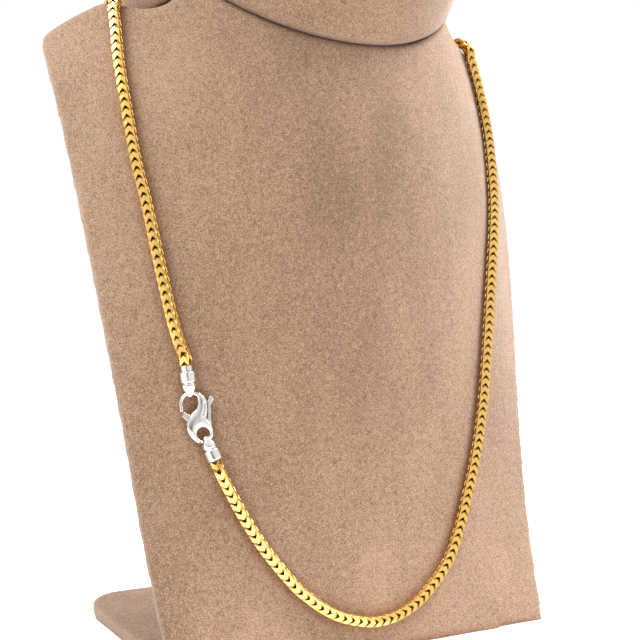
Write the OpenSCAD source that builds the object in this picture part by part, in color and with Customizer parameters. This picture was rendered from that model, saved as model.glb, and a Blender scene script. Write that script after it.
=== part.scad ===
// A franco chain necklace with its lobster clasp, laid over a plain neck bust.
// Millimetres, +Z up, +X to the wearer's left, the bust faces -Y.
// The origin is on the floor, under the middle of the whole.

/* [Necklace] */
// Side of the square chain
chain_side = 2.5; // [2.2:0.1:2.6]
// Height of the chain's middle above the suede
chain_lift = 1.6; // [1.5:0.05:1.7]
// Radius of the barrel of an end cap
barrel_r = 1.9; // [1.7:0.05:1.95]
// Length of the barrel of an end cap
barrel_len = 2.9; // [2.5:0.1:3]
// Length of the domed nose of an end cap
dome_len = 3.6; // [3.4:0.1:3.8]

/* [Clasp] */
// Thickness of the clasp's body
clasp_t = 2.2; // [2:0.1:2.4]
// Thickness of the lever
lever_t = 0.9; // [0.8:0.05:0.95]
// Radius of the wire of the hook and of the eye
hook_wire_r = 0.45; // [0.4:0.01:0.47]
// Radius of the pivot pin
pin_r = 0.3; // [0.28:0.01:0.34]
// Height of the clasp's middle above the suede
clasp_lift = 1.7; // [1.6:0.05:1.9]

/* [Bust] */
// Thickness of the torso along its side edges
edge_t = 4; // [3:0.5:6]
// Radius of the neck
neck_r = 52; // [51:0.5:52.5]
// Forward lean of the neck, in degrees
neck_lean = 35; // [34:1:36]
// Height where the middle of the neck ends
neck_top = 225; // [222:1:240]
// Width of the foot plate
foot_w = 118; // [110:1:120]
// Distance from the origin to the back of the foot plate
foot_back = 36; // [30:1:42]
// Thickness of the foot plate
foot_t = 4.5; // [4:0.5:6]

/* [Hidden] */
$fn = 48;
gap = 0.1;
gold = [0.95, 0.76, 0.3];
white_gold = [0.88, 0.88, 0.86];
suede = [0.7, 0.58, 0.49];

// Shape of the torso by height: [height, front at the middle, set back of the edges, half width]
torso_rows = [
    [-30, -47, -1, 55.5],
    [0, -38, 2, 58.5],
    [30, -32, 7.5, 61.5],
    [60, -29, 13, 64.5],
    [90, -27.5, 19.5, 68],
    [120, -26, 27, 71.5],
    [150, -22.5, 36, 74.5],
    [180, -15, 46.5, 77.5],
    [210, -2, 57, 80],
    [240, 14, 66, 82]
];
row_step = 30;

// Smooth curve through four evenly spaced values
function blend4(a, b, c, d, t) =
    b + 0.5 * t * (c - a + t * (2 * a - 5 * b + 4 * c - d + t * (3 * (b - c) + d - a)));
function row_at(z) = min(len(torso_rows) - 3, max(1, floor(z / row_step) + 1));
function torso_value(col, z) =
    let (i = row_at(z), t = (z - torso_rows[i][0]) / row_step)
    blend4(torso_rows[i - 1][col], torso_rows[i][col], torso_rows[i + 1][col],
           torso_rows[i + 2][col], t);
function front_y(z) = torso_value(1, z);
function edge_back(z) = torso_value(2, z);
function half_w(z) = torso_value(3, z);
// Radius of the arc that the front makes at one height
function front_r(z) = (pow(half_w(z), 2) + pow(edge_back(z), 2)) / (2 * edge_back(z));
function torso_y(x, z) = front_y(z) + front_r(z) - sqrt(pow(front_r(z), 2) - x * x);
function back_y(z) = front_y(z) + edge_back(z) + edge_t;

// Top outline of the torso: the seam round the neck, then the shoulder as [x, z]
seam_z = 165.8;
seam_r = 50;
seam_rise = 0.67;
function seam_curve(x) = seam_z + seam_rise * (seam_r - sqrt(seam_r * seam_r - x * x));
seam_x = [0, 6, 12, 18, 24, 30, 35, 39];
shoulder = [[42, 181.4], [43, 179.5], [44, 177.5], [45, 176.3], [46.5, 175], [49, 173.6],
            [51.5, 172.6], [54, 172.5], [57, 173.2], [60, 174.2], [62.5, 174.9], [65, 173.5],
            [68, 171.9], [72, 169.2], [74.2, 167.5], [75.1, 166.2], [75.7, 164.5], [76, 162.5]];
half_top = concat([for (x = seam_x) [x, seam_curve(x)]], shoulder);
function mirrored(list) = [for (i = [len(list) - 1:-1:1]) [-list[i][0], list[i][1]]];
top_outline = concat(mirrored(half_top), half_top);

function unit(v) = v / norm(v);
function torso_point(x, z) = [x, torso_y(x, z), z];
function torso_normal(x, z) =
    let (h = 0.1)
    unit(cross(torso_point(x + h, z) - torso_point(x - h, z),
               torso_point(x, z + h) - torso_point(x, z - h)));
function above(x, z, lift) = torso_point(x, z) + lift * torso_normal(x, z);

// Frame of the clasp on the suede: right, up and outward
clasp_x = -47.8;
clasp_z = 63;
clasp_out = torso_normal(clasp_x, clasp_z);
clasp_up = unit([0, 0, 1] - clasp_out[2] * clasp_out);
clasp_right = cross(clasp_up, clasp_out);
clasp_o = torso_point(clasp_x, clasp_z);
function on_clasp(x, y, lift) = clasp_o + x * clasp_right + y * clasp_up + lift * clasp_out;

// Ends of the two caps in the clasp's frame: [right, up, height above the suede]
upper_mouth = [-2.5, 13.5, 2.4];
upper_tip = [-1.4, 5.25, 1.75];
lower_mouth = [4.95, -11.05, 2.3];
lower_tip = [2.35, -4.7, 1.75];

// Outline of the clasp's body, and of its lever, in the clasp's frame
pivot = [2, -1.05];
eye_c = [1.88, -4.02];
eye_r = 2.1;
hook_c = [-1.05, 3.7];
hook_r = 2.75;
hook_tip = [-3.6, 1.65];
body_outline = [
    [2.5, 5], [2.9, 3.5], [2.95, 2.1], [2.7, 0.6], [2.66, -0.4], [3.3, -1.1], [4, -1.9],
    [4.3, -2.9], [3.9, -3.7], [2.6, -2.6], [0.6, -3], [0.35, -4.6], [1, -5.7], [0.9, -6.55],
    [0, -6.15], [-1.15, -5], [-2, -3.7], [-2.35, -2.4], [-2, -0.8], [-1.1, 1.1], [-0.2, 2.3],
    [0.4, 3.2], [0.5, 4.6], [0.1, 5.4], [1, 6.2]
];
slot_outline = [
    [-3.5, -2], [1.1, -1.95], [2, -2], [2.6, -2.35], [3.4, -2.8], [5, -3.3], [5, 0.9],
    [3.2, 0.9], [1.6, 1.3], [0.2, 2.2], [-1.2, 2.7], [-3.5, 2.1]
];
lever_outline = [
    [-3.05, 1.5], [-3.5, 0.4], [-2.25, -0.85], [1.7, -1.75], [2.1, -1.8], [3.5, -1.75],
    [4.1, -1.2], [3.85, -0.2], [3.9, 2], [3.75, 3.3], [4.6, 4.9], [4.3, 5.6], [3.8, 5.7],
    [3.35, 5.2], [3, 4], [3.1, 1], [3.05, -0.2], [2.3, -0.3], [-1.3, 0.65]
];
slot_t = lever_t + 2 * gap;
lever_bore_r = pin_r + 0.04;
body_bore_r = pin_r + 0.01;

// Domed nose of a cap: [share of its length, radius]
dome_rows = [[0, 1.75], [0.15, 1.8], [0.35, 1.72], [0.5, 1.52], [0.67, 1.25], [0.83, 0.95],
             [0.95, 0.65], [1, 0.35]];
cap_hole_at = 1.3;
cap_hole_r = 0.9;
groove_len = 0.3;
groove_r = 1.72;
collar_r = 1.45;

// Puts a shape that stands along +Z on the line from a to b, with its X side to the clasp's right
module along(a, b) {
    z = unit(b - a);
    x = unit(clasp_right - (clasp_right * z) * z);
    y = cross(z, x);
    multmatrix([[x[0], y[0], z[0], a[0]], [x[1], y[1], z[1], a[1]], [x[2], y[2], z[2], a[2]]])
        children();
}

module in_clasp_frame() {
    o = on_clasp(0, 0, clasp_lift);
    multmatrix([
        [clasp_right[0], clasp_up[0], clasp_out[0], o[0]],
        [clasp_right[1], clasp_up[1], clasp_out[1], o[1]],
        [clasp_right[2], clasp_up[2], clasp_out[2], o[2]]
    ]) children();
}

// One end cap: collar, barrel, groove and a domed nose that the clasp's wire passes through
module end_cap(mouth, tip) {
    a = on_clasp(mouth[0], mouth[1], mouth[2]);
    b = on_clasp(tip[0], tip[1], tip[2]);
    total = norm(b - a);
    dome_0 = total - dome_len;
    barrel_0 = dome_0 - groove_len - barrel_len;
    color(white_gold) along(a, b) difference() {
        rotate_extrude() polygon(concat(
            [[0, 0], [collar_r, 0], [collar_r, barrel_0], [barrel_r, barrel_0],
             [barrel_r, dome_0 - groove_len], [groove_r, dome_0 - groove_len],
             [groove_r, dome_0]],
            [for (r = dome_rows) [r[1], dome_0 + r[0] * dome_len]],
            [[0, total]]
        ));
        translate([0, 0, total - cap_hole_at]) rotate([0, 90, 0])
            cylinder(r = cap_hole_r, h = 6, center = true);
    }
}

module upper_end_cap() {
    end_cap(upper_mouth, upper_tip);
}

module lower_end_cap() {
    end_cap(lower_mouth, lower_tip);
}

// Round wire ring in the plane of the clasp
module wire_arc(c, r, wire_r, from, sweep) {
    translate([c[0], c[1], 0]) rotate([0, 0, from])
        rotate_extrude(angle = sweep) translate([r, 0]) circle(r = wire_r, $fn = 24);
}

module clasp_body() {
    hook_left = [hook_c[0] - hook_r, hook_c[1], 0];
    tip = [hook_tip[0], hook_tip[1], 0];
    shank = tip - hook_left;
    color(white_gold) in_clasp_frame() difference() {
        union() {
            translate([0, 0, -clasp_t / 2]) linear_extrude(clasp_t) polygon(body_outline);
            wire_arc(hook_c, hook_r, hook_wire_r, 30, 150);
            translate(hook_left) rotate([0, 0, atan2(shank[1], shank[0])]) rotate([0, 90, 0])
                cylinder(r = hook_wire_r, h = norm(shank), $fn = 24);
            translate(hook_left) sphere(r = hook_wire_r, $fn = 24);
            wire_arc(eye_c, eye_r, hook_wire_r, 0, 360);
        }
        translate([0, 0, -slot_t / 2]) linear_extrude(slot_t) polygon(slot_outline);
        translate([pivot[0], pivot[1], -clasp_t]) cylinder(r = body_bore_r, h = 2 * clasp_t);
    }
}

module clasp_pin() {
    color(white_gold) in_clasp_frame() translate([pivot[0], pivot[1], -clasp_t / 2])
        cylinder(r = pin_r, h = clasp_t);
}

module clasp_lever() {
    color(white_gold) in_clasp_frame() difference() {
        translate([0, 0, -lever_t / 2]) linear_extrude(lever_t) polygon(lever_outline);
        translate([pivot[0], pivot[1], -lever_t]) cylinder(r = lever_bore_r, h = 2 * lever_t);
    }
}

// Route of the chain from the upper cap over the shoulders to the lower cap.
// Points on the suede are [x, z]; points round the neck are [x, y, z].
left_lay = [[-50.8, 82], [-52.3, 88.5], [-53.9, 98], [-55.5, 108.5], [-57, 119], [-58.7, 130],
            [-60, 145.5], [-60.6, 157], [-60.5, 167], [-60.4, 171.5]];
round_neck = [[-60.5, 5.3, 175.7], [-60.3, 8, 176.3], [-59.9, 12, 176.1], [-58.5, 19, 175.5],
              [-56.6, 26, 174.9], [-55, 31, 174.8], [-54, 34.3, 175.4], [-50.8, 35.5, 175.9],
              [-42, 35.5, 176], [-21, 35.5, 176], [0, 35.5, 176], [21, 35.5, 176],
              [42, 35.5, 176], [50.5, 35.4, 175.9], [53.6, 34.1, 175.3], [54.2, 31, 174.7],
              [52.7, 24, 174.5], [50.7, 15, 174.9], [49.7, 7, 175.3], [50.3, 2.8, 175.4],
              [50.9, 0.3, 175.1], [51.8, -1.9, 174.15], [52.65, -2.45, 172.4]];
right_lay = [[52.2, 170], [53, 167.5], [54.3, 163.5], [56, 157], [57.2, 149], [57.4, 140.5],
             [56, 125], [53.3, 113], [50.7, 101.3], [48, 88], [45.8, 76.5], [43.2, 64.4],
             [40.1, 53.5], [37.4, 46], [34.6, 39.5], [30.8, 31], [26.4, 23.3], [22.5, 18.5],
             [18.4, 15], [13.5, 11.5], [9, 9.4], [4.6, 8.1], [0.4, 7.6], [-4, 7.8],
             [-11.2, 9.7], [-16.6, 12.5], [-20.6, 15.5], [-24.6, 19.2], [-31.3, 27.8],
             [-36.4, 36.3], [-40.3, 44.3]];

function cap_axis(mouth, tip, s) =
    let (a = on_clasp(mouth[0], mouth[1], mouth[2]), b = on_clasp(tip[0], tip[1], tip[2]))
    a + s * unit(a - b);
route = concat(
    [cap_axis(upper_mouth, upper_tip, gap / 2), cap_axis(upper_mouth, upper_tip, 2.5)],
    [for (p = left_lay) above(p[0], p[1], chain_lift)],
    round_neck,
    [for (p = right_lay) above(p[0], p[1], chain_lift)],
    [cap_axis(lower_mouth, lower_tip, 2.5), cap_axis(lower_mouth, lower_tip, gap / 2)]
);

// Smooth curve through the route, cut into equal steps of arc length
fine = 6;
last = len(route) - 1;
function route_at(i, t) = blend4(route[max(0, i - 1)], route[i], route[i + 1],
                                 route[min(last, i + 2)], t);
dense = [for (i = [0:last - 1]) for (k = [0:fine - 1]) route_at(i, k / fine), route[last]];
dense_len = [for (i = 0, s = 0; i < len(dense);
                  s = s + (i + 1 < len(dense) ? norm(dense[i + 1] - dense[i]) : 0), i = i + 1) s];
loop_len = dense_len[len(dense_len) - 1];
function index_at(s, lo, hi) = hi - lo < 2 ? lo
    : let (m = floor((lo + hi) / 2)) dense_len[m] > s ? index_at(s, lo, m) : index_at(s, m, hi);
function point_at(s) =
    let (i = index_at(s, 0, len(dense) - 1),
         t = (s - dense_len[i]) / (dense_len[i + 1] - dense_len[i]))
    dense[i] + t * (dense[i + 1] - dense[i]);
rings = 132;
ring_points = [for (i = [0:rings - 1]) point_at(loop_len * min(i / (rings - 1), 0.99999))];

// Outward direction of the chain at a point: away from the upright axis of the bust
bust_axis_y = 22;
function outward(p) = unit([p[0], p[1] - bust_axis_y, 0]);
ring_sides = 8;
// Square section with cut corners, flat sides toward and away from the suede
half_side = chain_side / 2;
corner_cut = half_side * 0.55;
section = [[half_side, -corner_cut], [half_side, corner_cut], [corner_cut, half_side],
           [-corner_cut, half_side], [-half_side, corner_cut], [-half_side, -corner_cut],
           [-corner_cut, -half_side], [corner_cut, -half_side]];
function tangent_at(i) = i == 0 ? unit(route[1] - route[0])
    : i == rings - 1 ? unit(route[last] - route[last - 1])
    : unit(ring_points[i + 1] - ring_points[i - 1]);
function ring(i) =
    let (t = tangent_at(i), a = unit(cross(t, outward(ring_points[i]))), b = cross(t, a))
    [for (q = section) ring_points[i] + q[0] * a + q[1] * b];

module chain() {
    points = [for (i = [0:rings - 1]) for (p = ring(i)) p];
    sides = [for (i = [0:rings - 2]) for (k = [0:ring_sides - 1])
        let (a = i * ring_sides + k, b = i * ring_sides + (k + 1) % ring_sides)
        [a, b, b + ring_sides, a + ring_sides]];
    start = [for (k = [ring_sides - 1:-1:0]) k];
    end = [for (k = [0:ring_sides - 1]) (rings - 1) * ring_sides + k];
    color(gold) polyhedron(points, concat([start], sides, [end]), convexity = 10);
}

// Torso: front and back nets of columns by rows, closed along the sides, top and bottom
rows = 18;
columns = len(top_outline) - 1;
function net_x(i, z) = top_outline[i][0] / half_w(top_outline[i][1]) * half_w(z);
function net_z(i, j) = j / rows * top_outline[i][1];
function front_point(i, j) = let (z = net_z(i, j)) torso_point(net_x(i, z), z);
function back_point(i, j) = let (z = net_z(i, j)) [net_x(i, z), back_y(z), z];

module bust_torso() {
    across = columns + 1;
    layer = across * (rows + 1);
    points = concat(
        [for (j = [0:rows]) for (i = [0:columns]) front_point(i, j)],
        [for (j = [0:rows]) for (i = [0:columns]) back_point(i, j)]
    );
    function at(side, i, j) = side * layer + j * across + i;
    front = [for (j = [0:rows - 1]) for (i = [0:columns - 1])
        each [[at(0, i, j), at(0, i, j + 1), at(0, i + 1, j + 1)],
              [at(0, i, j), at(0, i + 1, j + 1), at(0, i + 1, j)]]];
    back = [for (j = [0:rows - 1]) for (i = [0:columns - 1])
        each [[at(1, i, j), at(1, i + 1, j + 1), at(1, i, j + 1)],
              [at(1, i, j), at(1, i + 1, j), at(1, i + 1, j + 1)]]];
    floor_strip = [for (i = [0:columns - 1])
        each [[at(0, i, 0), at(0, i + 1, 0), at(1, i + 1, 0)],
              [at(0, i, 0), at(1, i + 1, 0), at(1, i, 0)]]];
    top_strip = [for (i = [0:columns - 1])
        each [[at(0, i, rows), at(1, i, rows), at(1, i + 1, rows)],
              [at(0, i, rows), at(1, i + 1, rows), at(0, i + 1, rows)]]];
    left_strip = [for (j = [0:rows - 1])
        each [[at(0, 0, j), at(1, 0, j), at(1, 0, j + 1)],
              [at(0, 0, j), at(1, 0, j + 1), at(0, 0, j + 1)]]];
    right_strip = [for (j = [0:rows - 1])
        each [[at(0, columns, j), at(0, columns, j + 1), at(1, columns, j + 1)],
              [at(0, columns, j), at(1, columns, j + 1), at(1, columns, j)]]];
    color(suede) polyhedron(points,
        concat(front, back, floor_strip, top_strip, left_strip, right_strip), convexity = 6);
}

// Neck: a leaning round stub that fills the notch of the torso, cut flush with its back
neck_front_y = -20.8;
neck_back_y = back_y(186);
neck_round = 3;
module bust_neck() {
    reach = neck_r / cos(neck_lean);
    axis_y = neck_front_y + reach;
    below = 70;
    above_seam = (neck_top - seam_z) / cos(neck_lean);
    notch = concat([for (p = top_outline) [p[0], p[1] + gap]], [[76, 60], [-76, 60]]);
    lean_a = back_y(seam_z - 2);
    lean_b = neck_back_y;
    color(suede) difference() {
        translate([0, axis_y, seam_z]) rotate([neck_lean, 0, 0]) rotate_extrude($fn = 96) union() {
            translate([0, -below]) square([neck_r, below + above_seam - neck_round]);
            translate([0, -below]) square([neck_r - neck_round, below + above_seam]);
            translate([neck_r - neck_round, above_seam - neck_round])
                circle(r = neck_round, $fn = 32);
        }
        translate([0, 300, 0]) rotate([90, 0, 0]) linear_extrude(600) polygon(notch);
        translate([-100, neck_back_y, 100]) cube([200, 100, 200]);
        translate([-100, 0, 0]) rotate([90, 0, 90]) linear_extrude(200) polygon([
            [lean_a, seam_z - 2], [lean_b, 186], [lean_b + 100, 186], [lean_b + 100, 100],
            [lean_a - 40, 100]
        ]);
    }
}

// Foot: a thin plate with round back corners, mitred to the leaning back of the torso
foot_corner_r = 12;
module bust_foot() {
    front_0 = back_y(0) + gap;
    front_t = back_y(foot_t) + gap;
    color(suede) intersection() {
        linear_extrude(foot_t) union() {
            translate([-foot_w / 2, front_y(0)])
                square([foot_w, foot_back - foot_corner_r - front_y(0)]);
            translate([foot_corner_r - foot_w / 2, front_y(0)])
                square([foot_w - 2 * foot_corner_r, foot_back - front_y(0)]);
            for (side = [-1, 1])
                translate([side * (foot_w / 2 - foot_corner_r), foot_back - foot_corner_r])
                    circle(r = foot_corner_r);
        }
        translate([-foot_w, 0, 0]) rotate([90, 0, 90]) linear_extrude(2 * foot_w) polygon([
            [front_0, -1], [front_0, 0], [front_t, foot_t], [front_t, foot_t + 1],
            [foot_back + 10, foot_t + 1], [foot_back + 10, -1]
        ]);
    }
}

chain();
upper_end_cap();
lower_end_cap();
clasp_body();
clasp_pin();
clasp_lever();
bust_torso();
bust_neck();
bust_foot();
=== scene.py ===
import math

import bpy
import numpy as np
from mathutils import Matrix, Vector


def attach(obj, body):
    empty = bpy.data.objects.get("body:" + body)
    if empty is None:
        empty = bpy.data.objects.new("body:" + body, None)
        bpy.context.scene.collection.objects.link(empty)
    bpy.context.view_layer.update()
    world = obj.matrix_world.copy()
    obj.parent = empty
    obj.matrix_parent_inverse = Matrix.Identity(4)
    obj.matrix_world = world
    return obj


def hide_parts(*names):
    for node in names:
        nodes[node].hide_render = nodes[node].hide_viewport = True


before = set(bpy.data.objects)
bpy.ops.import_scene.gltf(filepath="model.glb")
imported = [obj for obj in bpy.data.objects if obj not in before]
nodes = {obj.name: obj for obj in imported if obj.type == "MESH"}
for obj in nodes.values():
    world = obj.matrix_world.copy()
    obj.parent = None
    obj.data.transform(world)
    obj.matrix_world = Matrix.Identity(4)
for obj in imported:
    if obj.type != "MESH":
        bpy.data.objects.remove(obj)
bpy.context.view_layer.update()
MM = 0.001

# Studio
# The bust stands on a white floor in a light tent, with a soft box above each side of the
# camera, as for a catalogue picture of jewellery.
FLOOR_RADIUS = 8.0
FLOOR_CORNERS = 64
FLOOR_GLOW = 0.25
PAPER = (0.95, 0.95, 0.945, 1)
TENT_STRENGTH = 1.05


def new_material(name):
    """A new material, its node tree and its shader."""
    material = bpy.data.materials.new(name)
    material.use_nodes = True
    return material, material.node_tree, material.node_tree.nodes["Principled BSDF"]


def add_node(tree, kind, **settings):
    made = tree.nodes.new(kind)
    for key, value in settings.items():
        setattr(made, key, value)
    return made


def noise(tree, coords, scale, detail=2.0, roughness=0.5):
    made = add_node(tree, "ShaderNodeTexNoise")
    made.inputs["Scale"].default_value = scale
    made.inputs["Detail"].default_value = detail
    made.inputs["Roughness"].default_value = roughness
    tree.links.new(coords, made.inputs["Vector"])
    return made.outputs["Fac"]


def ramp(tree, factor, stops):
    """Colours set out along a factor, as pairs of a place and a colour."""
    made = add_node(tree, "ShaderNodeValToRGB")
    while len(made.color_ramp.elements) < len(stops):
        made.color_ramp.elements.new(0.5)
    for element, (place, colour) in zip(made.color_ramp.elements, stops):
        element.position = place
        element.color = (*colour, 1)
    tree.links.new(factor, made.inputs["Fac"])
    return made.outputs["Color"]


paper, tree, shader = new_material("white_floor")
shader.inputs["Base Color"].default_value = PAPER
shader.inputs["Roughness"].default_value = 0.9
shader.inputs["Specular IOR Level"].default_value = 0.1
shader.inputs["Emission Color"].default_value = (1, 1, 1, 1)
shader.inputs["Emission Strength"].default_value = FLOOR_GLOW

bpy.ops.object.select_all(action="DESELECT")
bpy.ops.mesh.primitive_circle_add(
    vertices=FLOOR_CORNERS, radius=FLOOR_RADIUS, fill_type="NGON",
)
floor = bpy.context.object
floor.name = "white_floor"
floor.data.materials.append(paper)

LIGHTS = [
    # name, place, size, power in watts, aim
    ("right_softbox", (0.42, -0.1, 0.68), 0.35, 11.0, (0.03, 0, 0.18)),
    ("left_softbox", (-0.4, -0.02, 0.6), 0.35, 4.8, (-0.03, 0, 0.18)),
]
for name, place, size, power, aim in LIGHTS:
    lamp = bpy.data.lights.new(name, "AREA")
    lamp.size = size
    lamp.energy = power
    holder = bpy.data.objects.new(name, lamp)
    holder.location = place
    holder.rotation_euler = (Vector(aim) - Vector(place)).to_track_quat("-Z", "Y").to_euler()
    bpy.context.scene.collection.objects.link(holder)

# The tent is white all round but for a dark slit in front, which polished metal mirrors as
# a dark streak
SLIT_ACROSS = (0.695, -0.396, 0)
SLIT_AHEAD = (0.495, 0.869, 0)
SLIT_UP = (0, 0, 0.8)
sky = bpy.data.worlds.new("light_tent")
bpy.context.scene.world = sky
sky.use_nodes = True
tree = sky.node_tree
direction = add_node(tree, "ShaderNodeTexCoord").outputs["Generated"]


def share_along(axis):
    """How far the view into the tent points along an axis."""
    product = add_node(tree, "ShaderNodeVectorMath", operation="DOT_PRODUCT")
    product.inputs[1].default_value = axis
    tree.links.new(direction, product.inputs[0])
    return product.outputs["Value"]


def larger(first, second):
    made = add_node(tree, "ShaderNodeMath", operation="MAXIMUM")
    tree.links.new(first, made.inputs[0])
    tree.links.new(second, made.inputs[1])
    return made.outputs["Value"]


beside = add_node(tree, "ShaderNodeMath", operation="ABSOLUTE")
tree.links.new(share_along(SLIT_ACROSS), beside.inputs[0])
level = larger(beside.outputs["Value"], share_along(SLIT_AHEAD))
away = larger(level, share_along(SLIT_UP))
tent = ramp(tree, away, [
    (0.1, (0.02, 0.02, 0.02)),
    (0.3, (0.7, 0.7, 0.7)),
    (0.8, (0.85, 0.85, 0.85)),
    (0.88, (1, 1, 1)),
])
tree.links.new(tent, tree.nodes["Background"].inputs["Color"])
tree.nodes["Background"].inputs["Strength"].default_value = TENT_STRENGTH
bpy.context.scene.view_settings.view_transform = "Standard"

# Camera
# It stands at chest height, to the left of the bust's front, and looks a little down through
# a lens of medium length. All of the bust and the necklace is sharp.
CAMERA_PLACE = (-0.1633, -0.2892, 0.0967)
CAMERA_HEADING = math.radians(29.65)
CAMERA_TILT = math.radians(1.55)
CAMERA_ROLL = math.radians(0.775)
LENS = 63.08
SENSOR = 36
camera_data = bpy.data.cameras.new("camera")
camera_data.lens = LENS
camera_data.sensor_width = SENSOR
camera_data.clip_start = 0.01
camera = bpy.data.objects.new("camera", camera_data)
camera.location = CAMERA_PLACE
camera.rotation_euler = (
    Matrix.Rotation(-CAMERA_HEADING, 4, "Z")
    @ Matrix.Rotation(math.pi / 2 - CAMERA_TILT, 4, "X")
    @ Matrix.Rotation(CAMERA_ROLL, 4, "Z")
).to_euler()
bpy.context.scene.collection.objects.link(camera)
bpy.context.scene.camera = camera

# Bust
# The chest, the neck and the foot plate are boards and foam, each wrapped in sand-coloured
# suede. The wrapped edges are soft, and the nap is brushed in patches.
SUEDE_VOXEL = 1.0 * MM
SUEDE_EASING = 6
# How far from the metal the painted contact shade reaches, and how the nap's noises are mixed
PAINTED_SHADE_REACH = 4 * MM
CLUMP_SHARE = 0.2
BROAD_SHARE = 0.6
PATCH_SHARE = 0.3
NAP_TURN = math.radians(35)
NAP_STRETCH = 0.45
NAP_DEPTH = 0.25 * MM


def pick(piece):
    """Makes one piece the active one and the only one selected."""
    bpy.ops.object.select_all(action="DESELECT")
    piece.select_set(True)
    bpy.context.view_layer.objects.active = piece


def voxel_skin(piece, voxel):
    """Melts a picked piece's parts into one closed skin."""
    remesh = piece.modifiers.new("skin", "REMESH")
    remesh.mode = "VOXEL"
    remesh.voxel_size = voxel
    bpy.ops.object.modifier_apply(modifier="skin")


def ease(piece, passes):
    """Smooths a picked piece's skin, which rounds its edges."""
    smooth = piece.modifiers.new("ease", "SMOOTH")
    smooth.factor = 0.5
    smooth.iterations = passes
    bpy.ops.object.modifier_apply(modifier="ease")
    bpy.ops.object.shade_smooth()


def wrapped_copy(name, node, voxel, passes, material):
    """A copy of a solid with softened edges, as skin or cast metal has them."""
    piece = nodes[node].copy()
    piece.data = nodes[node].data.copy()
    piece.parent = None
    for key in list(piece.keys()):
        del piece[key]
    piece.name = name
    piece.data.name = name
    bpy.context.scene.collection.objects.link(piece)
    pick(piece)
    bpy.ops.object.mode_set(mode="EDIT")
    bpy.ops.mesh.select_all(action="SELECT")
    bpy.ops.mesh.remove_doubles(threshold=1e-6)
    bpy.ops.object.mode_set(mode="OBJECT")
    voxel_skin(piece, voxel)
    ease(piece, passes)
    piece.data.materials.clear()
    piece.data.materials.append(material)
    return piece


suede, tree, shader = new_material("sand_suede")
links = tree.links
place = add_node(tree, "ShaderNodeTexCoord").outputs["Object"]
stretch = add_node(tree, "ShaderNodeMapping")
stretch.inputs["Scale"].default_value = (1, 1, NAP_STRETCH)
stretch.inputs["Rotation"].default_value = (0, NAP_TURN, 0)
links.new(place, stretch.inputs["Vector"])
fibre = noise(tree, place, 3000, 2, 0.6)
clump = noise(tree, place, 800, 3, 0.6)
brushed = noise(tree, stretch.outputs["Vector"], 55, 4, 0.55)
broad = noise(tree, place, 11, 2, 0.5)


def blend_noise(tree, first, second, share):
    mix = add_node(tree, "ShaderNodeMix", data_type="FLOAT")
    mix.inputs["Factor"].default_value = share
    tree.links.new(first, mix.inputs["A"])
    tree.links.new(second, mix.inputs["B"])
    return mix.outputs["Result"]


grain = blend_noise(tree, fibre, clump, CLUMP_SHARE)
patches = blend_noise(tree, brushed, broad, BROAD_SHARE)
tone = blend_noise(tree, grain, patches, PATCH_SHARE)
colour = ramp(tree, tone, [
    (0.42, (0.14, 0.081, 0.048)),
    (0.5, (0.243, 0.151, 0.096)),
    (0.58, (0.355, 0.23, 0.154)),
])
# Painted shade: the nap is darkened by ambient occlusion where metal or other parts lie close
# over it
contact_shade = add_node(tree, "ShaderNodeAmbientOcclusion", samples=8)
contact_shade.inputs["Distance"].default_value = PAINTED_SHADE_REACH
painted_shade_tint = ramp(tree, contact_shade.outputs["AO"], [
    (0.3, (0.75, 0.54, 0.4)),
    (0.9, (1, 1, 1)),
])
# The painted shade multiplies the nap's own colour
shaded_nap_colour = add_node(tree, "ShaderNodeMix", data_type="RGBA", blend_type="MULTIPLY")
shaded_nap_colour.inputs["Factor"].default_value = 1
links.new(colour, shaded_nap_colour.inputs["A"])
links.new(painted_shade_tint, shaded_nap_colour.inputs["B"])
links.new(shaded_nap_colour.outputs["Result"], shader.inputs["Base Color"])
shader.inputs["Roughness"].default_value = 0.95
shader.inputs["Specular IOR Level"].default_value = 0.12
shader.inputs["Sheen Weight"].default_value = 0.25
shader.inputs["Sheen Roughness"].default_value = 0.5
nap = add_node(tree, "ShaderNodeBump")
nap.inputs["Strength"].default_value = 0.35
nap.inputs["Distance"].default_value = NAP_DEPTH
links.new(grain, nap.inputs["Height"])
links.new(nap.outputs["Normal"], shader.inputs["Normal"])

for node in ("bust_torso", "bust_neck", "bust_foot"):
    cover = wrapped_copy(node + "_suede", node, SUEDE_VOXEL, SUEDE_EASING, suede)
    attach(cover, "necklace_on_bust")
    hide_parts(node)

# Franco chain
# Two sets of folded links, a quarter turn apart, are pushed through each other into a square
# cord of yellow gold. The two ends of each link lie as arrow heads on opposite sides, planed
# flat and polished.
CHAIN_LIFT = 1.6
PITCH = 2.4 * MM
# A link, as shares of the chain's half side: how far out its wire runs, how far across the
# arrow head reaches, its slope, and the half height and half thickness of the flattened wire
LINK_DEPTH = 0.94
LINK_REACH = 1.22
HEAD_SLOPE = 0.92
HEAD_HALF_HIGH = 0.97
HEAD_HALF_THICK = 0.43
HEAD_NOTCH = 0.22
HEAD_CROWN = 0.07
FOLD_WAIST = 0.6
FOLD_DROP = 0.6
FOLD_WIRE = 0.32
LINK_SEGMENTS = 14
WIRE_SIDES = 6
WIRE_SHARE = 0.3
# Where a link's side ends and its arrow head begins, as the cosine of the angle round it
HEAD_START = 0.3
HEAD_FADE = 0.32
# How far round the ring the flat end and the straight sides reach, and how square the wire is
OUT_FULL = 0.62
ACROSS_FULL = 0.78
SQUARE_WIRE = 1.6
FULL_RISE = 1.155
NOTCH_WIDTH = 0.4
# Painted shade darkens the links below this depth and is gone this much further out
SHADE_FADE_FROM = 0.85
SHADE_FADE_RUN = 0.4
# Share of the chain's length after which the links' points turn round, behind the neck
FLIP_AT = 0.35
LINK_CREASE = math.radians(50)

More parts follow.
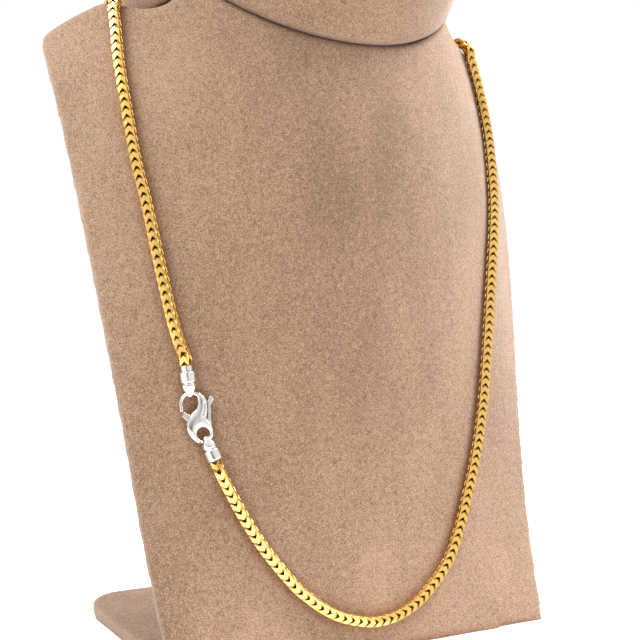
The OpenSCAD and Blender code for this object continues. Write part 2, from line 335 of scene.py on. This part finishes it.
# Shape of the chest by height, in rows a step apart:
# [height, front at the middle, set back of the edges, half width]
ROW_STEP = 30
TORSO_ROWS = [
    [-30, -47, -1, 55.5],
    [0, -38, 2, 58.5],
    [30, -32, 7.5, 61.5],
    [60, -29, 13, 64.5],
    [90, -27.5, 19.5, 68],
    [120, -26, 27, 71.5],
    [150, -22.5, 36, 74.5],
    [180, -15, 46.5, 77.5],
    [210, -2, 57, 80],
    [240, 14, 66, 82],
]
NORMAL_STEP = 0.1


def blend4(a, b, c, d, t):
    """A smooth curve from b to c, with a and d as their neighbours."""
    return b + 0.5 * t * (c - a + t * (2 * a - 5 * b + 4 * c - d + t * (3 * (b - c) + d - a)))


def torso_value(column, z):
    """One column of the chest's rows at a height."""
    row = min(len(TORSO_ROWS) - 3, max(1, int(z // ROW_STEP) + 1))
    values = [TORSO_ROWS[row + k][column] for k in (-1, 0, 1, 2)]
    return blend4(*values, (z - TORSO_ROWS[row][0]) / ROW_STEP)


def torso_point(x, z):
    """A point on the chest's front."""
    set_back, half = torso_value(2, z), torso_value(3, z)
    arc = (half ** 2 + set_back ** 2) / (2 * set_back)
    return Vector((x, torso_value(1, z) + arc - math.sqrt(arc ** 2 - x ** 2), z))


def torso_normal(x, z):
    """The outward direction of the chest's front."""
    across = torso_point(x + NORMAL_STEP, z) - torso_point(x - NORMAL_STEP, z)
    along = torso_point(x, z + NORMAL_STEP) - torso_point(x, z - NORMAL_STEP)
    return across.cross(along).normalized()


def above(x, z, lift):
    """A point lifted off the chest's front."""
    return torso_point(x, z) + lift * torso_normal(x, z)


# The clasp lies flat against the chest here
CLASP_X, CLASP_Z = -47.8, 63
CLASP_LIFT = 1.7
clasp_out = torso_normal(CLASP_X, CLASP_Z)
clasp_up = (Vector((0, 0, 1)) - clasp_out.z * clasp_out).normalized()
clasp_right = clasp_up.cross(clasp_out)


def on_clasp(x, y, lift):
    """A point in the clasp's frame: right, up and lift off the chest."""
    return torso_point(CLASP_X, CLASP_Z) + x * clasp_right + y * clasp_up + lift * clasp_out


# Mouth and tip of each end cap in the clasp's frame
UPPER_MOUTH, UPPER_TIP = (-2.5, 13.5, 2.4), (-1.4, 5.25, 1.75)
LOWER_MOUTH, LOWER_TIP = (4.95, -11.05, 2.3), (2.35, -4.7, 1.75)


def cap_axis(mouth, tip, s):
    """A point on a cap's axis, this far out of its mouth."""
    a, b = on_clasp(*mouth), on_clasp(*tip)
    return a + s * (a - b).normalized()


# The chain's course from cap to cap: across and up the chest's left, round the neck, and
# across and down its right. It leaves both caps straight.
LEFT_LAY = [(-50.8, 82), (-52.3, 88.5), (-53.9, 98), (-55.5, 108.5), (-57, 119), (-58.7, 130),
            (-60, 145.5), (-60.6, 157), (-60.5, 167), (-60.4, 171.5)]
ROUND_NECK = [(-60.5, 5.3, 175.7), (-60.3, 8, 176.3), (-59.9, 12, 176.1), (-58.5, 19, 175.5),
              (-56.6, 26, 174.9), (-55, 31, 174.8), (-54, 34.3, 175.4), (-50.8, 35.5, 175.9),
              (-42, 35.5, 176), (-21, 35.5, 176), (0, 35.5, 176), (21, 35.5, 176),
              (42, 35.5, 176), (50.5, 35.4, 175.9), (53.6, 34.1, 175.3), (54.2, 31, 174.7),
              (52.7, 24, 174.5), (50.7, 15, 174.9), (49.7, 7, 175.3), (50.3, 2.8, 175.4),
              (50.9, 0.3, 175.1), (51.8, -1.9, 174.15), (52.65, -2.45, 172.4)]
RIGHT_LAY = [(52.2, 170), (53, 167.5), (54.3, 163.5), (56, 157), (57.2, 149), (57.4, 140.5),
             (56, 125), (53.3, 113), (50.7, 101.3), (48, 88), (45.8, 76.5), (43.2, 64.4),
             (40.1, 53.5), (37.4, 46), (34.6, 39.5), (30.8, 31), (26.4, 23.3), (22.5, 18.5),
             (18.4, 15), (13.5, 11.5), (9, 9.4), (4.6, 8.1), (0.4, 7.6), (-4, 7.8),
             (-11.2, 9.7), (-16.6, 12.5), (-20.6, 15.5), (-24.6, 19.2), (-31.3, 27.8),
             (-36.4, 36.3), (-40.3, 44.3)]
END_GAP = 0.05
STRAIGHT_RUN = 2.5

# Which way the chain's first side faces, in degrees from the front, at each listed point on
# the left, and on the right, after its turn round the neck. Near the bottom it turns on.
FACE_LEFT = [-44, -44, -43, -42, -41, -40, -38, -37, -36, -36, -37, -39]
FACE_RIGHT = -22 - 360
FACE_BOTTOM_TURN = -16
BOTTOM_FROM, BOTTOM_RUN = 20, 40
FACE_RISE = 0.18
FACE_STEP = 0.6 * MM
route = [cap_axis(UPPER_MOUTH, UPPER_TIP, s) for s in (END_GAP, STRAIGHT_RUN)]
route += [above(x, z, CHAIN_LIFT) for x, z in LEFT_LAY]
route += [Vector(p) for p in ROUND_NECK]
route += [above(x, z, CHAIN_LIFT) for x, z in RIGHT_LAY]
route += [cap_axis(LOWER_MOUTH, LOWER_TIP, s) for s in (STRAIGHT_RUN, END_GAP)]


def facing_angle(i):
    """The side's heading at a point of the route, unwrapped once round the neck."""
    if i < len(FACE_LEFT):
        return FACE_LEFT[i]
    first_right = len(FACE_LEFT) + len(ROUND_NECK)
    if i < first_right:
        turn = (i - len(FACE_LEFT) + 1) / (len(ROUND_NECK) + 1)
        return FACE_LEFT[-1] + turn * (FACE_RIGHT - FACE_LEFT[-1])
    return FACE_RIGHT + FACE_BOTTOM_TURN * min(1, max(0, BOTTOM_FROM - route[i].x) / BOTTOM_RUN)


# Steps of the curve between two listed points
FINE = 12
dense, facing = [], []
for i in range(len(route) - 1):
    around = [route[max(0, i - 1)], route[i], route[i + 1], route[min(len(route) - 1, i + 2)]]
    for k in range(FINE):
        t = k / FINE
        dense.append(Vector(blend4(*[p[axis] for p in around], t) for axis in range(3)))
        facing.append(facing_angle(i) * (1 - t) + facing_angle(i + 1) * t)
dense.append(route[-1])
facing.append(facing_angle(len(route) - 1))
dense = np.array([tuple(p) for p in dense]) * MM
reach = np.concatenate([[0], np.cumsum(np.linalg.norm(np.diff(dense, axis=0), axis=1))])
chain_length = reach[-1]


def route_point(s):
    """The chain's middle at a length along it."""
    return np.array([np.interp(s, reach, dense[:, axis]) for axis in range(3)])


def chain_frame(s):
    """Middle, facing and forward directions of the chain at a length along it."""
    ahead = route_point(min(chain_length, s + FACE_STEP)) - route_point(max(0, s - FACE_STEP))
    ahead /= np.linalg.norm(ahead)
    heading = math.radians(np.interp(s, reach, facing))
    face = np.array([math.sin(heading), -math.cos(heading), FACE_RISE])
    face -= face.dot(ahead) * ahead
    face /= np.linalg.norm(face)
    return route_point(s), face, ahead


gold, tree, shader = new_material("polished_yellow_gold")
shader.inputs["Metallic"].default_value = 0.85
painted_lightness = add_node(tree, "ShaderNodeAttribute", attribute_name="painted_lightness").outputs["Fac"]
# Painted shade: the gold's colour darkens with depth below the link's outer faces, where the
# links shade each other
shaded_gold_colour = ramp(tree, painted_lightness, [
    (0.0, (0.34, 0.16, 0.02)),
    (0.55, (0.62, 0.34, 0.06)),
    (0.95, (0.91, 0.59, 0.175)),
])
tree.links.new(shaded_gold_colour, shader.inputs["Base Color"])
place = add_node(tree, "ShaderNodeTexCoord").outputs["Object"]
wear = ramp(tree, noise(tree, place, 900, 3), [
    (0.35, (0.15, 0.15, 0.15)),
    (0.7, (0.3, 0.3, 0.3)),
])
tree.links.new(wear, shader.inputs["Roughness"])
dents = add_node(tree, "ShaderNodeBump")
dents.inputs["Strength"].default_value = 0.12
dents.inputs["Distance"].default_value = 0.05 * MM
tree.links.new(noise(tree, place, 1600, 2), dents.inputs["Height"])
tree.links.new(dents.outputs["Normal"], shader.inputs["Normal"])

bpy.ops.object.select_all(action="DESELECT")
bpy.ops.mesh.primitive_torus_add(
    major_segments=LINK_SEGMENTS, minor_segments=WIRE_SIDES, major_radius=1,
    minor_radius=WIRE_SHARE,
)
pattern = bpy.context.object
ring = np.empty(len(pattern.data.vertices) * 3)
pattern.data.vertices.foreach_get("co", ring)
ring = ring.reshape(-1, 3)
faces = np.array([list(p.vertices) for p in pattern.data.polygons])
bpy.data.objects.remove(pattern)

# The round ring is folded: its ends turn up along the chain, its sides dive to the middle
angle = np.arctan2(ring[:, 1], ring[:, 0])
swell = (np.hypot(ring[:, 0], ring[:, 1]) - 1) / WIRE_SHARE
rise = ring[:, 2] / WIRE_SHARE
to_end, to_side = np.cos(angle), np.sin(angle)
swell = np.sign(swell) * np.minimum(1, SQUARE_WIRE * np.abs(swell))
rise = np.clip(FULL_RISE * rise, -1, 1)
head = np.clip((np.abs(to_end) - HEAD_START) / HEAD_FADE, 0, 1)
head = head ** 2 * (3 - 2 * head)
out = LINK_DEPTH * np.clip(to_end / OUT_FULL, -1, 1)
out -= np.sign(to_end) * head * rise * HEAD_HALF_THICK
across = LINK_REACH * np.clip(to_side / ACROSS_FULL, -1, 1)
along = -HEAD_SLOPE * np.abs(across) - FOLD_DROP * (1 - head)
out -= np.sign(to_end) * head * HEAD_CROWN * across ** 2
across *= FOLD_WAIST + (1 - FOLD_WAIST) * head
high = HEAD_HALF_HIGH * (1 - HEAD_NOTCH * np.exp(-(across / NOTCH_WIDTH) ** 2) * (swell < 0))
along += head * swell * high + (1 - head) * rise * FOLD_WIRE + 0.5 * HEAD_SLOPE * LINK_REACH
across += (1 - head) * np.sign(to_side) * swell * FOLD_WIRE
link = np.stack([out, across, along], axis=1) * MM
# Painted shade: 0 deep inside a link, where its colour is painted dark, up to 1 on its outer
# faces
painted_lightness = np.clip((np.abs(out) - SHADE_FADE_FROM) / SHADE_FADE_RUN, 0, 1)

# A link of one set, then a link of the other, a quarter turn round and half a pitch on
count = int(chain_length / PITCH)
spacing = chain_length / count
points, polygons = [], []
for i in range(2 * count - 1):
    middle, face, ahead = chain_frame((i / 2 + 0.5) * spacing)
    if i > FLIP_AT * 2 * count:
        ahead = -ahead
    side = np.cross(face, ahead)
    across, depth = (side, face) if i % 2 else (face, -side)
    points.append(middle + link[:, :1] * across + link[:, 1:2] * depth + link[:, 2:] * ahead)
    polygons.append(faces + i * len(link))
mesh_data = bpy.data.meshes.new("franco_links")
mesh_data.from_pydata(np.concatenate(points).tolist(), [], np.concatenate(polygons).tolist())
mesh_data.materials.append(gold)
painted_light_layer = mesh_data.attributes.new("painted_lightness", "FLOAT", "POINT")
painted_light_layer.data.foreach_set("value", np.tile(painted_lightness, len(points)).astype(np.float32))
franco = bpy.data.objects.new("franco_links", mesh_data)
bpy.context.scene.collection.objects.link(franco)
pick(franco)
bpy.ops.object.shade_smooth_by_angle(angle=LINK_CREASE)
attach(franco, "necklace_on_bust")
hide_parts("chain")

# Clasp and end caps
# Both are cast in white gold and polished: a slotted body with its hook and eye, a spring
# lever on a pin, and two turned caps that hold the chain's ends.
white_gold, tree, shader = new_material("polished_white_gold")
shader.inputs["Metallic"].default_value = 0.87
# Painted shade: the base colour darkens by ambient occlusion in the grooves and inner corners
CREVICE_SHADE_REACH = 0.9 * MM
corners = add_node(tree, "ShaderNodeAmbientOcclusion", samples=8)
corners.inputs["Distance"].default_value = CREVICE_SHADE_REACH
# Painted shade: occluded corners get a near-black base colour
tree.links.new(ramp(tree, corners.outputs["AO"], [
    (0.3, (0.16, 0.155, 0.15)),
    (0.75, (0.8, 0.775, 0.73)),
]), shader.inputs["Base Color"])
place = add_node(tree, "ShaderNodeTexCoord").outputs["Object"]
wear = ramp(tree, noise(tree, place, 700, 3), [
    (0.35, (0.06, 0.06, 0.06)),
    (0.7, (0.14, 0.14, 0.14)),
])
tree.links.new(wear, shader.inputs["Roughness"])

# The caps, from mouth to tip: a collar, a barrel, a groove and a domed nose, whose rows are
# shares of its length and radii
COLLAR_R = 1.5
BARREL_R, BARREL_LEN = 1.96, 2.9
GROOVE_R, GROOVE_LEN = 1.52, 0.3
DOME_LEN = 3.6
DOME_ROWS = [(0, 1.66), (0.03, 1.74), (0.15, 1.8), (0.35, 1.72), (0.5, 1.52), (0.67, 1.25),
             (0.83, 0.95), (0.95, 0.65), (1, 0.35)]
CAP_EDGE = 0.12
CAP_STEPS = 64
CAP_HOLE_AT, CAP_HOLE_R = 1.3, 0.9
CAP_HOLE_STEPS = 40
CAP_CREASE = math.radians(40)
DRILL_LONG = 6 * MM


def cut(piece, tool):
    """Cuts the tool's shape out of a piece and takes the tool away."""
    pick(piece)
    take = piece.modifiers.new("cut", "BOOLEAN")
    take.operation = "DIFFERENCE"
    take.solver = "EXACT"
    take.object = tool
    bpy.ops.object.modifier_apply(modifier="cut")
    bpy.data.objects.remove(tool)


def turned_cap(name, mouth, tip):
    """A cap turned on a lathe from its mouth to its tip, cross-drilled for the clasp's wire."""
    start, end = on_clasp(*mouth) * MM, on_clasp(*tip) * MM
    total = (end - start).length / MM
    dome_0 = total - DOME_LEN
    groove_0 = dome_0 - GROOVE_LEN
    barrel_0 = groove_0 - BARREL_LEN
    profile = [(0, 0), (COLLAR_R - CAP_EDGE, 0), (COLLAR_R, CAP_EDGE), (COLLAR_R, 0.25),
               (COLLAR_R, barrel_0 - CAP_EDGE), (COLLAR_R - 0.15, barrel_0),
               (BARREL_R - 0.18, barrel_0 + 0.02), (BARREL_R - 0.05, barrel_0 + 0.1),
               (BARREL_R, barrel_0 + 0.25), (BARREL_R, barrel_0 + 0.4),
               (BARREL_R, groove_0 - 0.3), (BARREL_R, groove_0 - CAP_EDGE),
               (BARREL_R - 0.1, groove_0), (GROOVE_R, groove_0), (GROOVE_R, dome_0)]
    profile += [(radius, dome_0 + share * DOME_LEN) for share, radius in DOME_ROWS]
    profile += [(0, total)]
    data = bpy.data.meshes.new(name)
    corners = [(radius * MM, 0, height * MM) for radius, height in profile]
    data.from_pydata(corners, [(i, i + 1) for i in range(len(corners) - 1)], [])
    cap = bpy.data.objects.new(name, data)
    bpy.context.scene.collection.objects.link(cap)
    pick(cap)
    lathe = cap.modifiers.new("lathe", "SCREW")
    lathe.steps = lathe.render_steps = CAP_STEPS
    bpy.ops.object.modifier_apply(modifier="lathe")
    bpy.ops.mesh.primitive_cylinder_add(
        vertices=CAP_HOLE_STEPS, radius=CAP_HOLE_R * MM, depth=DRILL_LONG,
        location=(0, 0, (total - CAP_HOLE_AT) * MM), rotation=(0, math.pi / 2, 0),
    )
    drill = bpy.context.object
    pick(cap)
    bpy.ops.object.mode_set(mode="EDIT")
    bpy.ops.mesh.select_all(action="SELECT")
    bpy.ops.mesh.remove_doubles(threshold=1e-6)
    bpy.ops.mesh.normals_make_consistent(inside=False)
    bpy.ops.object.mode_set(mode="OBJECT")
    cut(cap, drill)
    along = (end - start).normalized()
    across = (clasp_right - clasp_right.dot(along) * along).normalized()
    turn = Matrix((across, along.cross(across), along)).transposed().to_4x4()
    cap.data.transform(Matrix.Translation(start) @ turn)
    bpy.ops.object.shade_smooth_by_angle(angle=CAP_CREASE)
    cap.data.materials.append(white_gold)
    return cap


for node, mouth, tip in (
    ("upper_end_cap", UPPER_MOUTH, UPPER_TIP),
    ("lower_end_cap", LOWER_MOUTH, LOWER_TIP),
):
    cap = turned_cap(node + "_turned", mouth, tip)
    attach(cap, "necklace_on_bust")
    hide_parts(node)

# Outlines in the clasp's frame: right, up. Half thicknesses and depths go towards the viewer.
CHEEKS = [(2.5, 5), (2.85, 3.6), (2.9, 2.1), (2.7, 0.6), (2.7, -0.4), (3.3, -1.1), (4, -1.9),
          (4.3, -2.9), (4.2, -3.6), (3.55, -3.4), (3, -2.8), (2.2, -2.37), (1.3, -2.42),
          (0.6, -2.9), (0.22, -3.7), (0.25, -4.5), (0.65, -5.2), (1.15, -5.7), (0.9, -6.5),
          (0, -6.15), (-1.15, -5.1), (-1.9, -3.9), (-2.25, -2.5), (-2.1, -1.1), (-1.6, 0.1),
          (-0.9, 1.05), (-0.05, 2), (0.45, 3.1), (0.55, 4.2), (0.4, 5.2), (0.35, 6),
          (0.75, 6.5), (1.7, 5.85)]
SLOT = [(-3.5, -2), (1.1, -1.95), (2, -2), (2.6, -2.35), (3.4, -2.8), (5, -3.3), (5, 0.9),
        (3.2, 0.9), (1.6, 1.3), (0.2, 2.2), (-1.2, 2.7), (-3.5, 2.1)]
SLOT_HALF = 0.55
SLOT_TOP, SLOT_FOOT = 2.7, -3
EDGE_HALF, END_EDGE_HALF = 0.6, 0.48
CROWN_HALF, CROWN_REACH = 1.1, 1.7
SEAM = [(2.3, 3.9), (2.22, 2.7), (1.95, 1.5), (1.75, 0.5)]
SEAM_HALF, SEAM_DEPTH = 0.22, 0.3
EYE_MIDDLE, EYE_R = (1.88, -4.02), 2.1
HOOK_MIDDLE, HOOK_R = (-1.05, 3.7), 2.75
HOOK_FROM, HOOK_TO = 35, 180
HOOK_TIP = (-3.6, 1.65)
HOOK_STEPS, SHANK_STEPS, EYE_STEPS = 40, 8, 64
WIRE_R = 0.47
WIRE_AROUND = 24
# The hook's wire is thicker where it leaves the body
ROOT_EXTRA, ROOT_STEPS = 0.15, 12
BODY_VOXEL, BODY_EASING = 0.07 * MM, 10
clasp_middle = np.array(on_clasp(0, 0, CLASP_LIFT)) * MM
clasp_axes = np.array([tuple(clasp_right), tuple(clasp_up), tuple(clasp_out)])


def clasp_mesh(name, points, polygons):
    """A mesh from points in the clasp's frame."""
    data = bpy.data.meshes.new(name)
    data.from_pydata((np.array(points) * MM @ clasp_axes + clasp_middle).tolist(), [], polygons)
    made = bpy.data.objects.new(name, data)
    bpy.context.scene.collection.objects.link(made)
    pick(made)
    bpy.ops.object.mode_set(mode="EDIT")
    bpy.ops.mesh.select_all(action="SELECT")
    bpy.ops.mesh.normals_make_consistent(inside=False)
    bpy.ops.object.mode_set(mode="OBJECT")
    return made


def plate(name, outline, half):
    """A flat plate with this outline, of this half thickness."""
    count = len(outline)
    points = [(x, y, side * half) for side in (-1, 1) for x, y in outline]
    walls = [(i, (i + 1) % count, (i + 1) % count + count, i + count) for i in range(count)]
    return clasp_mesh(name, points, walls + [list(range(count)), list(range(count, 2 * count))])


def rounded(outline, per=5):
    """The outline's points joined by a smooth closed curve."""
    count = len(outline)
    return [
        tuple(blend4(*[outline[(i + k) % count][axis] for k in (-1, 0, 1, 2)], step / per)
              for axis in (0, 1))
        for i in range(count) for step in range(per)
    ]


def wire(name, path, radii, closed=False):
    """A round wire bent in the plane of the clasp."""
    sides, count = WIRE_AROUND, len(path)
    points = []
    for i, (x, y) in enumerate(path):
        before = path[i - 1] if closed or i else path[0]
        after = path[(i + 1) % count] if closed or i < count - 1 else path[-1]
        run = math.hypot(after[0] - before[0], after[1] - before[1])
        out_x, out_y = (after[1] - before[1]) / run, (before[0] - after[0]) / run
        for k in range(sides):
            turn = 2 * math.pi * k / sides
            swing = radii[i] * math.cos(turn)
            points.append((x + swing * out_x, y + swing * out_y, radii[i] * math.sin(turn)))
    around = [
        (i * sides + k, i * sides + (k + 1) % sides,
         (i + 1) % count * sides + (k + 1) % sides, (i + 1) % count * sides + k)
        for i in range(count if closed else count - 1) for k in range(sides)
    ]
    ends = [] if closed else [list(range(sides)), list(range((count - 1) * sides, count * sides))]
    return clasp_mesh(name, points, around + ends)


def arc(middle, radius, start, end, steps):
    """Points along an arc, its ends given in degrees."""
    angles = [math.radians(start + (end - start) * i / steps) for i in range(steps + 1)]
    return [(middle[0] + radius * math.cos(a), middle[1] + radius * math.sin(a)) for a in angles]


def distance_to(points, path, closed):
    """How far each point is from a path of straight pieces."""
    nearest = np.full(len(points), np.inf)
    path = np.array(path)
    for i in range(len(path) if closed else len(path) - 1):
        start, edge = path[i], path[(i + 1) % len(path)] - path[i]
        share = np.clip((points - start) @ edge / (edge @ edge), 0, 1)
        away = np.linalg.norm(points - start - share[:, None] * edge, axis=1)
        nearest = np.minimum(nearest, away)
    return nearest


def crown(piece):
    """Domes the cheeks, low at their outline and full in the middle, and sinks the seam."""
    co = np.empty(len(piece.data.vertices) * 3)
    piece.data.vertices.foreach_get("co", co)
    flat = (co.reshape(-1, 3) - clasp_middle) @ clasp_axes.T / MM
    rise = 1 - np.minimum(distance_to(flat[:, :2], rounded(CHEEKS, 3), True) / CROWN_REACH, 1)
    past_slot = np.maximum(flat[:, 1] - SLOT_TOP, SLOT_FOOT - flat[:, 1])
    edge = EDGE_HALF - (EDGE_HALF - END_EDGE_HALF) * np.clip(past_slot, 0, 1)
    limit = edge + (CROWN_HALF - edge) * np.sqrt(1 - rise ** 2)
    seam = np.maximum(1 - distance_to(flat[:, :2], SEAM, False) / SEAM_HALF, 0)
    limit = np.maximum(limit - SEAM_DEPTH * seam, edge)
    outer = np.abs(flat[:, 2]) > edge
    flat[outer, 2] = np.sign(flat[outer, 2]) * np.minimum(np.abs(flat[outer, 2]), limit[outer])
    co = flat * MM @ clasp_axes + clasp_middle
    piece.data.vertices.foreach_set("co", co.ravel())
    piece.data.update()


body = plate("clasp_body_cast", rounded(CHEEKS), CROWN_HALF)
cut(body, plate("slot", SLOT, SLOT_HALF))
bend = arc(HOOK_MIDDLE, HOOK_R, HOOK_FROM, HOOK_TO, HOOK_STEPS)
bend_x, bend_y = bend[-1]
shank = [(bend_x + (HOOK_TIP[0] - bend_x) * k / SHANK_STEPS,
          bend_y + (HOOK_TIP[1] - bend_y) * k / SHANK_STEPS) for k in range(1, SHANK_STEPS + 1)]
radii = [WIRE_R + ROOT_EXTRA * max(0, 1 - i / ROOT_STEPS) for i in range(len(bend + shank))]
hook = wire("hook", bend + shank, radii)
circle = arc(EYE_MIDDLE, EYE_R, 0, 360, EYE_STEPS)[:-1]
eye = wire("eye", circle, [WIRE_R] * EYE_STEPS, closed=True)
pick(body)
hook.select_set(True)
eye.select_set(True)
bpy.ops.object.join()
voxel_skin(body, BODY_VOXEL)
crown(body)
ease(body, BODY_EASING)
body.data.materials.append(white_gold)
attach(body, "necklace_on_bust")
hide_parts("clasp_body")

CAST = [
    # node, body it rides on, voxel, smoothing passes
    ("clasp_pin", "necklace_on_bust", 0.04 * MM, 2),
    ("clasp_lever", "lever", 0.06 * MM, 14),
]
for node, carrier, voxel, passes in CAST:
    cast = wrapped_copy(node + "_cast", node, voxel, passes, white_gold)
    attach(cast, carrier)
    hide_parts(node)
